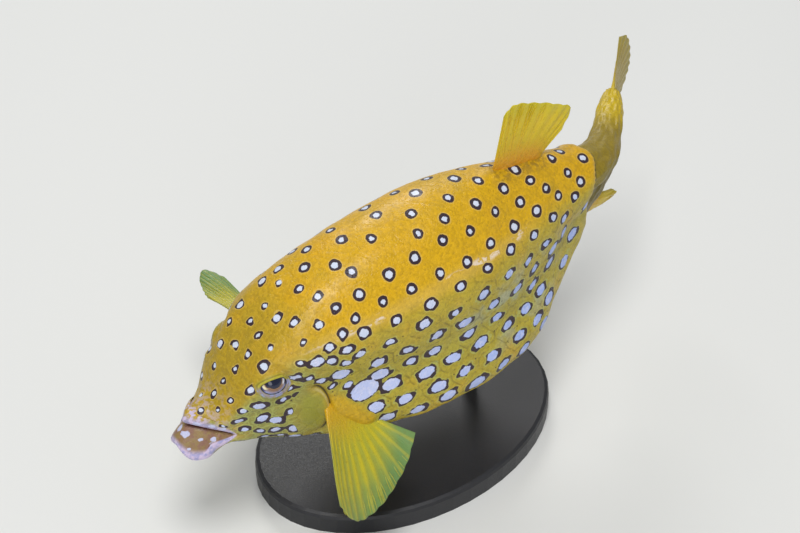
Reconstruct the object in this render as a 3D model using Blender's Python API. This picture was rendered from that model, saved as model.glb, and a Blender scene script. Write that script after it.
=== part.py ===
"""Yellow boxfish: a life-size still model of the whole fish, held over a flat base by two rods.

The fish is level, with its snout towards -X, its back up and its left side towards -Y.
Its tail is bent to its right. The origin is the centre of the base's underside.

In body coordinates `s` runs back along the centre line from the mouth, `y` to the fish's
right and `z` up from the level of its keels. place() turns them into the model's space.
"""

import math

import bmesh
import bpy
import numpy as np

MM = 0.001
GAP = 0.3 * MM  # left between pieces that touch

# The body's length and bend
FLOAT_HEIGHT = 37.0 * MM  # of the level z = 0 above the floor
BASE_CENTRE_S = 84.0 * MM  # the place along the body that lies over the origin
SNOUT_END_S = -3.0 * MM
HEAD_END_S = 41.0 * MM
SHELL_MIDDLE_S = 98.0 * MM
SHELL_END_S = 158.0 * MM
TAIL_END_S = 206.0 * MM
BEND_START_S = 143.0 * MM
BEND_END_S = 187.0 * MM
BEND_ANGLE = math.radians(45.0)
STATION_STEP = 4.4 * MM

# Lines of the body: each pairs a place along it with a height or a half width, in mm.
BACK_Z = ((-5, 24), (2, 26.2), (8, 29), (15, 38), (21, 44.6), (34, 55), (52, 63.2), (75, 68),
          (100, 68.5), (122, 64.5), (142, 60), (158, 55), (170, 49), (186, 45.5), (206, 44))
UPPER_RIDGE_Z = ((-5, 20), (2, 22), (8, 24.6), (15, 34.4), (21, 40.8), (34, 48), (52, 50), (75, 51.4),
                 (100, 52.8), (122, 52), (142, 51.4), (158, 49.5), (170, 45.5), (186, 43.5), (206, 42.5))
UPPER_RIDGE_Y = ((-5, 3.4), (2, 5.6), (8, 8), (15, 11.8), (21, 14.2), (34, 17.4), (52, 20), (75, 21.6),
                 (100, 20.6), (122, 16.2), (142, 11.6), (158, 8.6), (170, 6.6), (186, 4.8), (206, 2.6))
LOWER_RIDGE_Z = ((-5, 16), (2, 15), (8, 14.6), (15, 14), (21, 12.9), (34, 10), (52, 6.5), (75, 4),
                 (100, 3.8), (122, 7.2), (142, 20.6), (158, 33), (170, 36.3), (186, 35.6), (206, 33))
LOWER_RIDGE_Y = ((-5, 3.4), (2, 5.8), (8, 7.8), (15, 10.4), (21, 12.6), (34, 17.4), (52, 23.2), (75, 26.8),
                 (100, 27), (122, 23), (142, 13), (158, 6), (170, 4.4), (186, 3.5), (206, 2.4))
KEEL_Z = ((-5, 14), (2, 12), (8, 10.8), (15, 9), (21, 7.6), (34, 5), (52, 2), (75, 0),
          (100, 0), (122, 4), (142, 17), (158, 30), (170, 34.8), (186, 34.4), (206, 32))

# Smaller parts, in mm of body coordinates; the left one of a pair has y < 0.
EYE_CENTRE = (23.6, -10.2, 35.4)
EYE_RADIUS = 6.6
GILL_COVER_CENTRE = (34.2, -15.8, 22.0)
GILL_COVER_RADII = (4.9, 2.6, 9.2)

# Each fin's first and last points lie on its leading and trailing rays.
PECTORAL_BASE = ((39.5, -16.6, 25), (45, -18.8, 18.5), (51, -20.2, 12.5))
PECTORAL_TIPS_LEFT = ((25.1, -46.2, 7.4), (28.2, -47.7, 1), (35.2, -47.1, -4.8), (46.2, -44.2, -5.7),
                      (57, -38.8, -1.9), (64.3, -33.1, 5.1))
PECTORAL_TIPS_RIGHT = ((36.1, 42, 22.2), (37.9, 49, 19.4), (40.3, 55.6, 17.6), (42.3, 59.2, 17.8),
                       (44.8, 60.8, 17.5), (48.5, 55.6, 14.3))
DORSAL_BASE = ((118, 0, 61), (127, 0, 60), (135.5, 0, 59))
DORSAL_TIPS = ((122.3, 0, 87.6), (126.4, 0, 90.5), (134.7, 0, 87.4), (144, 0, 82.7), (149.4, 0, 78.5),
               (146, 0, 70.8))
ANAL_BASE = ((145, 0, 21), (153, 0, 28), (161, 0, 33))
ANAL_TIPS = ((155, 3.5, 13), (160.5, 4.5, 15), (166.5, 3.5, 16.8), (171.8, -0.5, 17.9), (175.3, -4.5, 19.6),
             (176.5, -6.5, 22.6), (174.7, -4.6, 25.6))
CAUDAL_BASE = ((202, 0, 32), (202.5, 0, 37.5), (202, 0, 43))
CAUDAL_TIPS = ((223, 0, 23), (228, 0, 26.5), (230, 0, 32.5), (230.5, 0, 38), (230, 0, 44.5),
               (228, 0, 50.5), (223, 0, 53.5))
FIN_WEB = 1.0 * MM
PECTORAL_ROOT = 4.4 * MM
MEDIAN_ROOT = 4.0 * MM
FLESHY_PART = 0.42  # of a fin's height, over which its root thins out

UPPER_LIP = ((10, -8.9, 17.7), (3, -6.6, 21.4), (-2.1, 0, 22.9), (3, 6.6, 21.4), (10, 8.9, 17.7))
UPPER_LIP_RADII = (1.2, 1.9, 2.3, 1.9, 1.2)
LOWER_LIP = ((10, -8.4, 14.2), (0.5, -6.4, 13.6), (-3.6, 0, 16.1), (0.5, 6.4, 13.6), (10, 8.4, 14.2))
LOWER_LIP_RADII = (1.3, 2.3, 2.6, 2.3, 1.3)

# The display stand
BASE_HALF_LENGTH = 56.0 * MM
BASE_HALF_WIDTH = 38.0 * MM
BASE_THICKNESS = 8.0 * MM
BASE_BEVEL = 1.5 * MM
ROD_RADIUS = 2.5 * MM
ROD_PLACES = {"front": 62.0 * MM, "rear": 112.0 * MM}
ROD_SINK = 6.0 * MM  # how far a rod reaches into the belly before it is cut


def smooth_line(points):
    """A function through (place, value) pairs in mm: a cubic between each two, with no kink."""
    at, value = np.array(points, float).T * MM
    slope = np.gradient(value, at)

    def line(s):
        i = int(np.clip(np.searchsorted(at, s) - 1, 0, len(at) - 2))
        step = at[i + 1] - at[i]
        t = min(max((s - at[i]) / step, 0.0), 1.0)
        end = t * t * (3 - 2 * t)
        leave, arrive = t * (1 - t) ** 2 * step, t * t * (t - 1) * step
        return (1 - end) * value[i] + end * value[i + 1] + leave * slope[i] + arrive * slope[i + 1]

    return line


def smooth_path(points):
    """A function from 0 to 1 along a smooth path through points given in mm."""
    share = np.linspace(0, 1 / MM, len(points))
    lines = [smooth_line(list(zip(share, axis))) for axis in np.array(points, float).T]
    return lambda t: np.array([line(t) for line in lines])


back_z = smooth_line(BACK_Z)
upper_ridge_z = smooth_line(UPPER_RIDGE_Z)
upper_ridge_y = smooth_line(UPPER_RIDGE_Y)
lower_ridge_z = smooth_line(LOWER_RIDGE_Z)
lower_ridge_y = smooth_line(LOWER_RIDGE_Y)
keel_z = smooth_line(KEEL_Z)


def heading(s):
    """How far the centre line has turned to the fish's right at s."""
    t = min(max((s - BEND_START_S) / (BEND_END_S - BEND_START_S), 0.0), 1.0)
    return BEND_ANGLE * t * t * (3 - 2 * t)


def centre_line(s, steps=60):
    """The centre line's place at s, seen from above."""
    straight = min(s, BEND_START_S)
    run = (s - straight) / steps
    turns = [heading(straight + run * (k + 0.5)) for k in range(steps)]
    return straight + run * sum(map(math.cos, turns)), run * sum(map(math.sin, turns))


def place(s, y, z):
    """Body coordinates to the model's space."""
    x0, y0 = centre_line(s)
    turn = heading(s)
    return (x0 - y * math.sin(turn) - BASE_CENTRE_S, y0 + y * math.cos(turn), z + FLOAT_HEIGHT)


def bezier(p0, p1, p2, p3, t):
    return (1 - t) ** 3 * p0 + 3 * t * (1 - t) ** 2 * p1 + 3 * t * t * (1 - t) * p2 + t**3 * p3


def half_section(s):
    """Points from the back's midline round the right side to the belly's, as (y, z)."""
    top, bottom = back_z(s), keel_z(s)
    yd, zd, yv, zv = upper_ridge_y(s), upper_ridge_z(s), lower_ridge_y(s), lower_ridge_z(s)
    flank = ((yd + yv) / 2 + 0.02 * (zd - zv), (zd + zv) / 2)
    knots = np.array(((0, top), (yd, zd), flank, (yv, zv), (0, bottom)))
    # The curve's direction at each knot, and its reach on either side: a short reach makes a sharp ridge.
    aims = np.array(((1, 0), (0.62, -0.78), (0.04, -1), (-0.55, -0.83), (-1, 0)))
    reach_after = (0.62 * yd, 0.20 * (zd - zv), 0.15 * (zd - zv), 0.28 * yv, 0)
    reach_before = (0, 0.42 * yd, 0.13 * (zd - zv), 0.14 * (zd - zv), 0.55 * yv)
    points = []
    for k, count in enumerate((3, 3, 3, 2)):
        p1 = knots[k] + reach_after[k] * aims[k]
        p2 = knots[k + 1] - reach_before[k + 1] * aims[k + 1]
        points += [bezier(knots[k], p1, p2, knots[k + 1], j / count) for j in range(count)]
    points.append(knots[-1])
    return np.array(points)


def section(s, grow=0.0):
    """The whole ring at s, moved outwards by grow."""
    half = half_section(s)
    ring = np.vstack([half, half[-2:0:-1] * (-1, 1)])
    along = np.roll(ring, -1, axis=0) - np.roll(ring, 1, axis=0)
    outward = np.column_stack([-along[:, 1], along[:, 0]])
    return ring + grow * outward / np.linalg.norm(outward, axis=1)[:, None]


def new_object(name, shape, material):
    """An object from a bmesh, with its faces turned outwards."""
    bmesh.ops.recalc_face_normals(shape, faces=shape.faces)
    mesh = bpy.data.meshes.new(name)
    shape.to_mesh(mesh)
    shape.free()
    mesh.shade_smooth()
    mesh.set_sharp_from_angle(angle=math.radians(40))
    mesh.materials.append(material)
    made = bpy.data.objects.new(name, mesh)
    bpy.context.scene.collection.objects.link(made)
    return made


def loft(rings):
    """A closed bmesh through rings of as many points each, with a fan of faces at either end."""
    shape = bmesh.new()
    loops = [[shape.verts.new(point) for point in ring] for ring in rings]
    around = len(loops[0])
    for ring, following in zip(loops, loops[1:]):
        for j in range(around):
            k = (j + 1) % around
            shape.faces.new((ring[j], ring[k], following[k], following[j]))
    for ring, points in ((loops[0], rings[0]), (loops[-1], rings[-1])):
        middle = shape.verts.new(np.mean(points, axis=0))
        for j in range(around):
            shape.faces.new((middle, ring[j], ring[(j + 1) % around]))
    return shape


def body_length(name, start, end, material, grow=0.0):
    """A closed length of the body between two flat cuts."""
    count = round((end - start) / STATION_STEP)
    rings = [[place(s, y, z) for y, z in section(s, grow)] for s in np.linspace(start, end, count + 1)]
    return new_object(name, loft(rings), material)


def fan(name, base, tips, root, camber, material, across=16, along=7):
    """A fin, as a bowed sheet of rays from its base line to its tip line, thick at its root."""
    base_at, tip_at = smooth_path(base), smooth_path(tips)
    shape = bmesh.new()
    rows = []
    for i in range(across + 1):
        start, end = base_at(i / across), tip_at(i / across)
        ray = end - start
        bow = np.cross(tip_at(1) - tip_at(0), ray)
        bow *= camber * math.sin(math.pi * i / across) / np.linalg.norm(bow)
        points = [start + ray * t + bow * t * t for t in np.linspace(0, 1, along + 1)]
        rows.append([shape.verts.new(place(*point)) for point in points])
    for row, following in zip(rows, rows[1:]):
        for j in range(along):
            shape.faces.new((row[j], following[j], following[j + 1], row[j + 1]))
    fin = new_object(name, shape, material)
    flesh = fin.vertex_groups.new(name="flesh")
    for vert in fin.data.vertices:
        out = (vert.index % (along + 1)) / along
        flesh.add([vert.index], max(0.0, 1 - out / FLESHY_PART) ** 1.5, "REPLACE")
    thickness = fin.modifiers.new("thickness", "SOLIDIFY")
    thickness.thickness = root
    thickness.offset = 0
    thickness.vertex_group = "flesh"
    thickness.thickness_vertex_group = FIN_WEB / root
    return fin


def lip(name, route, radii, material, around=12, count=18):
    """A round lip along a smooth path, thinner towards the corners of the mouth."""
    path = smooth_path(route)
    radius = smooth_path([(r,) for r in radii])
    rings = []
    for k in range(count + 1):
        t = k / count
        aim = path(min(1, t + 0.02)) - path(max(0, t - 0.02))
        out = np.cross(aim, (0, 0, 1))
        up = np.cross(out, aim)
        out, up = radius(t) * out / np.linalg.norm(out), radius(t) * up / np.linalg.norm(up)
        turns = [2 * math.pi * j / around for j in range(around)]
        rings.append([place(*(path(t) + math.cos(turn) * out + math.sin(turn) * up)) for turn in turns])
    return new_object(name, loft(rings), material)


def ball(name, centre, radii, material, segments, rings):
    """A ball, or an egg shape where the radii differ, centred in body coordinates."""
    shape = bmesh.new()
    bmesh.ops.create_uvsphere(shape, u_segments=segments, v_segments=rings, radius=1.0)
    bmesh.ops.scale(shape, vec=np.ones(3) * radii, verts=shape.verts)
    bmesh.ops.translate(shape, vec=place(*centre), verts=shape.verts)
    return new_object(name, shape, material)


def cut(made, cutter):
    """Takes the cutter's shape away from an object; the cutter isn't part of the model."""
    cutter.hide_render = True
    cutter.display_type = "WIRE"
    boolean = made.modifiers.new("cut by " + cutter.name, "BOOLEAN")
    boolean.operation = "DIFFERENCE"
    boolean.solver = "EXACT"
    boolean.object = cutter


def paint(name, colour, roughness, metallic=0.0):
    made = bpy.data.materials.new(name)
    made.use_nodes = True
    shader = made.node_tree.nodes["Principled BSDF"]
    shader.inputs["Base Color"].default_value = (*colour, 1)
    shader.inputs["Roughness"].default_value = roughness
    shader.inputs["Metallic"].default_value = metallic
    return made


def make_body(skin):
    """The body in four lengths, and a slightly larger whole one that trims what meets it."""
    half = GAP / 2
    head = body_length("head", SNOUT_END_S, HEAD_END_S - half, skin)
    body_length("trunk_front", HEAD_END_S + half, SHELL_MIDDLE_S - half, skin)
    body_length("trunk_rear", SHELL_MIDDLE_S + half, SHELL_END_S - half, skin)
    body_length("tail_peduncle", SHELL_END_S + half, TAIL_END_S, skin)
    envelope = body_length("envelope", SNOUT_END_S - GAP, TAIL_END_S + GAP, skin, grow=GAP)
    return head, envelope


def make_sides_of_head(head, skin, eye_paint):
    """The eyes in their sockets and the soft covers in front of the gill slits."""
    for side, mirror in (("left", (1, 1, 1)), ("right", (1, -1, 1))):
        eye = np.array(EYE_CENTRE) * mirror * MM
        ball(f"eye_{side}", eye, EYE_RADIUS * MM, eye_paint, 18, 12)
        cut(head, ball(f"socket_{side}", eye, EYE_RADIUS * MM + GAP, skin, 18, 12))
        cover = np.array(GILL_COVER_CENTRE) * mirror * MM
        radii = np.array(GILL_COVER_RADII) * MM
        ball(f"gill_cover_{side}", cover, radii, skin, 14, 10)
        cut(head, ball(f"gill_pocket_{side}", cover, radii + GAP, skin, 14, 10))


def make_fins(envelope, fin_paint):
    base_right = np.array(PECTORAL_BASE) * (1, -1, 1)
    fins = (
        ("pectoral_fin_left", PECTORAL_BASE, PECTORAL_TIPS_LEFT, PECTORAL_ROOT, 2.5),
        ("pectoral_fin_right", base_right, PECTORAL_TIPS_RIGHT, PECTORAL_ROOT, -2.0),
        ("dorsal_fin", DORSAL_BASE, DORSAL_TIPS, MEDIAN_ROOT, 1.0),
        ("anal_fin", ANAL_BASE, ANAL_TIPS, MEDIAN_ROOT, 1.0),
        ("caudal_fin", CAUDAL_BASE, CAUDAL_TIPS, MEDIAN_ROOT, -4.0),
    )
    for name, base, tips, root, camber in fins:
        cut(fan(name, base, tips, root, camber * MM, fin_paint), envelope)


def make_lips(envelope, lip_paint):
    cut(lip("upper_lip", UPPER_LIP, UPPER_LIP_RADII, lip_paint), envelope)
    cut(lip("lower_lip", LOWER_LIP, LOWER_LIP_RADII, lip_paint), envelope)


def make_base(base_paint):
    """An oval slab with a rounded upper rim."""
    shape = bmesh.new()
    bmesh.ops.create_circle(shape, cap_ends=True, segments=48, radius=1.0)
    bmesh.ops.scale(shape, vec=(BASE_HALF_LENGTH, BASE_HALF_WIDTH, 1), verts=shape.verts)
    raised = bmesh.ops.extrude_face_region(shape, geom=shape.faces[:])["geom"]
    top = [item for item in raised if isinstance(item, bmesh.types.BMVert)]
    bmesh.ops.translate(shape, vec=(0, 0, BASE_THICKNESS), verts=top)
    rim = [edge for edge in shape.edges if all(vert in top for vert in edge.verts)]
    bmesh.ops.bevel(shape, geom=rim, offset=BASE_BEVEL, segments=2, profile=0.5, affect="EDGES")
    new_object("stand_base", shape, base_paint)


def make_rods(envelope, rod_paint):
    for name, s in ROD_PLACES.items():
        foot = BASE_THICKNESS + GAP
        head = FLOAT_HEIGHT + keel_z(s) + ROD_SINK
        x, y, _ = place(s, 0, 0)
        shape = bmesh.new()
        bmesh.ops.create_cone(shape, cap_ends=True, segments=20, radius1=ROD_RADIUS, radius2=ROD_RADIUS,
                              depth=head - foot)
        bmesh.ops.translate(shape, vec=(x, y, (foot + head) / 2), verts=shape.verts)
        cut(new_object(f"stand_rod_{name}", shape, rod_paint), envelope)


def main():
    for old in list(bpy.data.objects):
        bpy.data.objects.remove(old)
    skin = paint("golden skin", (0.72, 0.43, 0.02), 0.45)
    head, envelope = make_body(skin)
    make_sides_of_head(head, skin, paint("dark eye", (0.03, 0.05, 0.12), 0.1))
    make_fins(envelope, paint("yellow fin", (0.78, 0.56, 0.03), 0.4))
    make_lips(envelope, paint("pinkish lip", (0.55, 0.42, 0.38), 0.4))
    make_base(paint("dark base", (0.05, 0.05, 0.055), 0.4))
    make_rods(envelope, paint("brushed rod", (0.6, 0.6, 0.6), 0.3, 1.0))


main()
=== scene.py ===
"""A life-size yellow boxfish on its display stand: skin, lips, eyes, rayed fins, stand and studio.

Body coordinates are in millimetres: s runs back along the centre line from the mouth, y to the
fish's right and z up from the level of its keels. placed() turns them into the frame's metres.
A place `u` round the body runs from 0 on the back's midline over 1, the upper ridge, and 3, the
lower ridge, to 4 on the belly's midline.
"""
import math

import bpy
import numpy as np
from mathutils import Matrix, Vector


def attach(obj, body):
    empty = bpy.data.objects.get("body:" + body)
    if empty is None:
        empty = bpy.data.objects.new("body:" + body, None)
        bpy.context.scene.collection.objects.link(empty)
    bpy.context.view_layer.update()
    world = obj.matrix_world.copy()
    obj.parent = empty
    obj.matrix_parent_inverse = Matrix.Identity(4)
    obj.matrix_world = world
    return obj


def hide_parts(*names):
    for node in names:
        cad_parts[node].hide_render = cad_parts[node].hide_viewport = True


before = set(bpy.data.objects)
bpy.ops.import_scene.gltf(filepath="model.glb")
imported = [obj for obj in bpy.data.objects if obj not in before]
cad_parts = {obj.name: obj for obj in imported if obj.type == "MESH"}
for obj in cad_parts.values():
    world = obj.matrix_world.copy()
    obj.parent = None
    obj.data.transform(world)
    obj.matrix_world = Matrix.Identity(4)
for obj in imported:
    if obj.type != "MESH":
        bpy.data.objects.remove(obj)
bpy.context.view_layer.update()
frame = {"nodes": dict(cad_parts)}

MM = 0.001
LEFT, RIGHT = -1, 1

# The body's place and bend, as in the solids
FLOAT_HEIGHT = 37.0
BASE_CENTRE_S = 84.0
TAIL_END_S = 206.0
BEND_START_S = 143.0
BEND_END_S = 187.0
BEND_ANGLE = math.radians(45.0)

# Sections of the body, as in the solids: the place along it, then the back's height, the upper
# ridge's height and half width, the lower ridge's height and half width, and the keel's height.
SECTIONS = (
    (-5, 24, 20, 3.4, 16, 3.4, 14),
    (2, 26.2, 22, 5.6, 15, 5.8, 12),
    (8, 29, 24.6, 8, 14.6, 7.8, 10.8),
    (15, 38, 34.4, 11.8, 14, 10.4, 9),
    (21, 44.6, 40.8, 14.2, 12.9, 12.6, 7.6),
    (34, 55, 48, 17.4, 10, 17.4, 5),
    (52, 63.2, 50, 20, 6.5, 23.2, 2),
    (75, 68, 51.4, 21.6, 4, 26.8, 0),
    (100, 68.5, 52.8, 20.6, 3.8, 27, 0),
    (122, 64.5, 52, 16.2, 7.2, 23, 4),
    (142, 60, 51.4, 11.6, 20.6, 13, 17),
    (158, 55, 49.5, 8.6, 33, 6, 30),
    (170, 49, 45.5, 6.6, 36.3, 4.4, 34.8),
    (186, 45.5, 43.5, 4.8, 35.6, 3.5, 34.4),
    (206, 44, 42.5, 2.6, 33, 2.4, 32),
)

# The skin's mesh
COLUMNS = (26, 30, 30, 24)  # from the back to the upper ridge, mid-flank, lower ridge and belly
HEAD_END_S = 60.0
HEAD_RINGS = 165
TRUNK_RING_GAP = 0.8
LIP_STEPS = 8

# The mouth: rings from its inside outwards. Each has its place at the upper midline (s, z), at the
# corner (s, y, z) and at the lower midline (s, z), how square the lower lip's front is, and how far
# the lower lip hangs at its sides.
MOUTH_CORNER_U = 2.65
MOUTH_RINGS = (
    ((7.0, 21.6), (10.8, 5.0, 16.4), (7.0, 20.4), 0.60, 0.0),
    ((0.2, 21.9), (10.6, 7.6, 16.6), (-0.2, 21.3), 0.62, 0.0),
    ((-1.5, 22.5), (10.9, 8.5, 16.7), (-4.1, 19.3), 0.95, 2.0),
    ((-2.5, 24.2), (11.2, 9.0, 16.8), (-6.0, 16.8), 1.25, 3.7),
    ((-1.7, 25.9), (11.5, 9.3, 16.9), (-4.4, 12.9), 1.25, 3.2),
    ((0.0, 26.3), (11.8, 9.4, 16.9), (-0.8, 11.7), 1.00, 1.2),
)
MOUTH_INSIDE = (11.0, 0.0, 17.0)
MOUTH_BORDER_S = (1.6, 12.2, 1.2)  # where the head's own surface begins: upper, corner, lower
LIP_SPOTS = (  # whether on the upper lip, degrees round from the middle, rings over the lip, half length
    (False, 12, 1.75, 1.5), (False, 38, 1.7, 0.9), (False, 58, 1.8, 1.1), (False, 30, 2.45, 0.8),
    (False, 62, 2.5, 0.8), (True, 22, 2.9, 1.5), (True, 45, 3.2, 1.1), (True, 62, 3.1, 1.4),
)
LIP_HANG = (0.0, 42.0, 54.0, 66.0)  # degrees round the lower lip: hangs more up to 42, less from 54

# The eye, on the left side
EYE_CENTRE = np.array((23.6, -10.2, 35.4))
EYE_PLACE = EYE_CENTRE * (1, -1, 1)  # the same as (s, |y|, z)
EYE_RADIUS = 6.6
EYE_GAP = 0.35  # how far the eyeball lies inside that radius
EYE_DOME = 0.55  # how far its front stands out
EYE_STEPS = 72  # from its front to its back
EYE_AROUND = 96
GAZE = np.array((-0.16, -0.75, 0.64))
LID_CORNERS = np.array(((-0.78, -0.53, 0.32), (0.51, -0.77, 0.38)))  # seen from the eye's centre
LID_OPENING = (14.0, 28.0)  # degrees up and down from the line between the corners

# Features of the skin, as (s, |y|, z) or (s, z)
GILL_CENTRE = (34.2, 22.0)
GILL_RADII = (4.9, 9.4)
NOSTRIL = (15.5, 11.6, 34.0)
CHEEK = (17.0, 13.0, 24.0)
SHOULDER = (50, 23, 26)  # the spots are largest here, behind the gill slit
SHELL_REACH = (158.5, 152.0)  # where the shell's rear rim lies on the back and on the flank
PAINTED_ROOT = ((41, 18, 24), (51, 22, 12.5))  # the line of the pectoral fin's root
ROOT_SWELLS = (  # the line of a fin's root, and the swelling's height and width
    ((40.5, 18, 24), (51, 22, 12.5), 1.3, 4.2),
    ((119, 0, 66), (141, 0, 60.5), 1.3, 4.2),
    ((147, 0, 19), (161, 0, 29), 1.2, 3.6),
)

# Rows of ringed spots on the shell: place round the body, first place along it, spacing, radius of
# the white centre and width of the dark rim.
SPOT_ROWS = (
    (0.09, 53.5, 14.6, 1.10, 0.90), (0.30, 44.0, 12.2, 1.12, 0.90), (0.56, 43.0, 11.3, 1.12, 0.90),
    (0.86, 51.0, 10.8, 1.15, 0.85), (1.12, 41.0, 11.8, 1.25, 0.85), (1.38, 49.0, 11.8, 1.35, 0.90),
    (1.68, 43.5, 11.6, 1.55, 0.90), (1.95, 57.0, 11.2, 1.60, 0.90), (2.22, 51.0, 11.2, 1.70, 0.90),
    (2.50, 53.5, 11.5, 1.80, 0.90), (2.78, 47.0, 11.5, 1.80, 0.90), (3.10, 52.0, 11.5, 1.70, 0.90),
    (3.42, 46.0, 12.0, 1.70, 0.90), (3.75, 52.0, 13.0, 1.60, 0.90),
)
SPOT_LENGTH = 1.5  # a flank spot's length to its height
HEAD_SPOTS_S = (2.5, 47.0)  # the head's spots are scattered between these places
HEAD_SPOT_TRIES = 9000

# Fins, as in the solids: the first and last points lie on the leading and trailing rays.
PECTORAL_BASE = ((39.5, -16.6, 25), (45, -18.8, 18.5), (51, -20.2, 12.5))
PECTORAL_TIPS_LEFT = ((25.1, -46.2, 7.4), (28.2, -47.7, 1), (35.2, -47.1, -4.8), (46.2, -44.2, -5.7),
                      (57, -38.8, -1.9), (64.3, -33.1, 5.1))
PECTORAL_TIPS_RIGHT = ((36.1, 42, 22.2), (37.9, 49, 19.4), (40.3, 55.6, 17.6), (42.3, 59.2, 17.8),
                       (44.8, 60.8, 17.5), (48.5, 55.6, 14.3))
DORSAL_BASE = ((118, 0, 61), (127, 0, 60), (135.5, 0, 59))
DORSAL_TIPS = ((122.3, 0, 87.6), (126.4, 0, 90.5), (134.7, 0, 87.4), (144, 0, 82.7), (149.4, 0, 78.5),
               (146, 0, 70.8))
ANAL_BASE = ((145, 0, 21), (153, 0, 28), (161, 0, 33))
ANAL_TIPS = ((155, 3.5, 13), (160.5, 4.5, 15), (166.5, 3.5, 16.8), (171.8, -0.5, 17.9),
             (175.3, -4.5, 19.6), (176.5, -6.5, 22.6), (174.7, -4.6, 25.6))
CAUDAL_BASE = ((202, 0, 32), (202.5, 0, 37.5), (202, 0, 43))
CAUDAL_TIPS = ((223, 0, 23), (228, 0, 26.5), (230, 0, 32.5), (230.5, 0, 38), (230, 0, 44.5),
               (228, 0, 50.5), (223, 0, 53.5))
PECTORAL_ROOT = 4.2
MEDIAN_ROOT = 3.8
FLESHY_PART = 0.42
WEB = 0.45  # thickness of a fin's web, which thins to half of that at its edge
WEB_STEPS_ACROSS = 132
WEB_STEPS_OUT = 64
RAY_SIDES = 8

# The camera, fitted to the photograph
IMAGE = (800, 533)
CAMERA_AZIMUTH = math.radians(-36.3)
CAMERA_ELEVATION = math.radians(44.0)
CAMERA_ROLL = math.radians(0.3)
CAMERA_DISTANCE = 800.0
CAMERA_TARGET = (80.0, 0.0, 35.0)  # in body coordinates
TARGET_PIXEL = (395.3, 288.6)
PIXELS_PER_MM = 3.08
SENSOR_WIDTH = 36.0


# Shapes in body coordinates

def smooth_line(points):
    """A function through (place, value) pairs: a cubic between each two, with no kink."""
    at, value = np.array(points, float).T
    slope = np.gradient(value, at)

    def line(s):
        i = np.clip(np.searchsorted(at, s) - 1, 0, len(at) - 2)
        step = at[i + 1] - at[i]
        t = np.clip((s - at[i]) / step, 0.0, 1.0)
        end = t * t * (3 - 2 * t)
        leave, arrive = t * (1 - t) ** 2 * step, t * t * (t - 1) * step
        return (1 - end) * value[i] + end * value[i + 1] + leave * slope[i] + arrive * slope[i + 1]

    return line


def smooth_path(points):
    """A function from 0 to 1 along a smooth path through points."""
    share = np.linspace(0, 1, len(points))
    lines = [smooth_line(list(zip(share, axis))) for axis in np.array(points, float).T]
    return lambda t: np.stack([line(np.asarray(t, float)) for line in lines], -1)


back_z, upper_ridge_z, upper_ridge_y, lower_ridge_z, lower_ridge_y, keel_z = (
    smooth_line([(row[0], row[k]) for row in SECTIONS]) for k in range(1, 7))


def fade(value, start, end):
    """Smoothly from 0 at start to 1 at end."""
    t = np.clip((value - start) / (end - start), 0.0, 1.0)
    return t * t * (3 - 2 * t)


def hump(distance, width):
    return np.exp(-(distance / width) ** 2)


def heading(s):
    """How far the centre line has turned to the fish's right at s."""
    return BEND_ANGLE * fade(s, BEND_START_S, BEND_END_S)


BEND_TABLE_S = np.arange(BEND_START_S, 240.0, 0.25)
BEND_TURNS = heading(BEND_TABLE_S[:-1] + 0.125)
BEND_TABLE_X = BEND_START_S + np.concatenate([[0], np.cumsum(0.25 * np.cos(BEND_TURNS))])
BEND_TABLE_Y = np.concatenate([[0], np.cumsum(0.25 * np.sin(BEND_TURNS))])


def placed(points):
    """Body coordinates to the frame's metres."""
    s, y, z = np.moveaxis(np.asarray(points, float), -1, 0)
    turn = heading(s)
    x0 = np.where(s < BEND_START_S, s, np.interp(s, BEND_TABLE_S, BEND_TABLE_X))
    y0 = np.interp(s, BEND_TABLE_S, BEND_TABLE_Y)
    x = x0 - y * np.sin(turn) - BASE_CENTRE_S
    return np.stack([x, y0 + y * np.cos(turn), z + FLOAT_HEIGHT], -1) * MM


def body_surface(s, u):
    """Points (s, |y|, z) of the body at places s along and u round it."""
    s, u = np.broadcast_arrays(np.asarray(s, float), np.asarray(u, float))
    yd, zd, yv, zv = upper_ridge_y(s), upper_ridge_z(s), lower_ridge_y(s), lower_ridge_z(s)
    zero = 0 * s
    tall = zd - zv
    knots = np.stack([np.stack([zero, back_z(s)]), np.stack([yd, zd]),
                      np.stack([(yd + yv) / 2 + 0.02 * tall, (zd + zv) / 2]), np.stack([yv, zv]),
                      np.stack([zero, keel_z(s)])])
    # The curve's direction at each knot, and its reach on either side: a short reach makes a sharp ridge.
    aims = np.array(((1, 0), (0.62, -0.78), (0.04, -1), (-0.55, -0.83), (-1, 0)))
    reach_after = np.stack([0.62 * yd, 0.20 * tall, 0.15 * tall, 0.28 * yv, zero])
    reach_before = np.stack([zero, 0.42 * yd, 0.13 * tall, 0.14 * tall, 0.55 * yv])
    k = np.clip(u.astype(int), 0, 3)
    t = u - k

    def pick(table, index):
        return np.take_along_axis(table, index[None], 0)[0]

    found = []
    for axis in range(2):
        p0, p3 = pick(knots[:, axis], k), pick(knots[:, axis], k + 1)
        p1 = p0 + pick(reach_after, k) * aims[k, axis]
        p2 = p3 - pick(reach_before, k + 1) * aims[k + 1, axis]
        found.append((1 - t) ** 3 * p0 + 3 * t * (1 - t) ** 2 * p1 + 3 * t * t * (1 - t) * p2 + t**3 * p3)
    return np.stack([s, found[0], found[1]], -1)


def ripple(points, size, seed, waves=14):
    """A smooth uneven value, about -1 to 1, whose swells are `size` mm across."""
    rng = np.random.default_rng(seed)
    aims = rng.normal(size=(waves, 3))
    aims *= (math.pi / size * rng.uniform(0.6, 1.4, waves) / np.linalg.norm(aims, axis=1))[:, None]
    return np.sin(points @ aims.T + rng.uniform(0, 2 * math.pi, waves)).sum(-1) / math.sqrt(waves)


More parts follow.
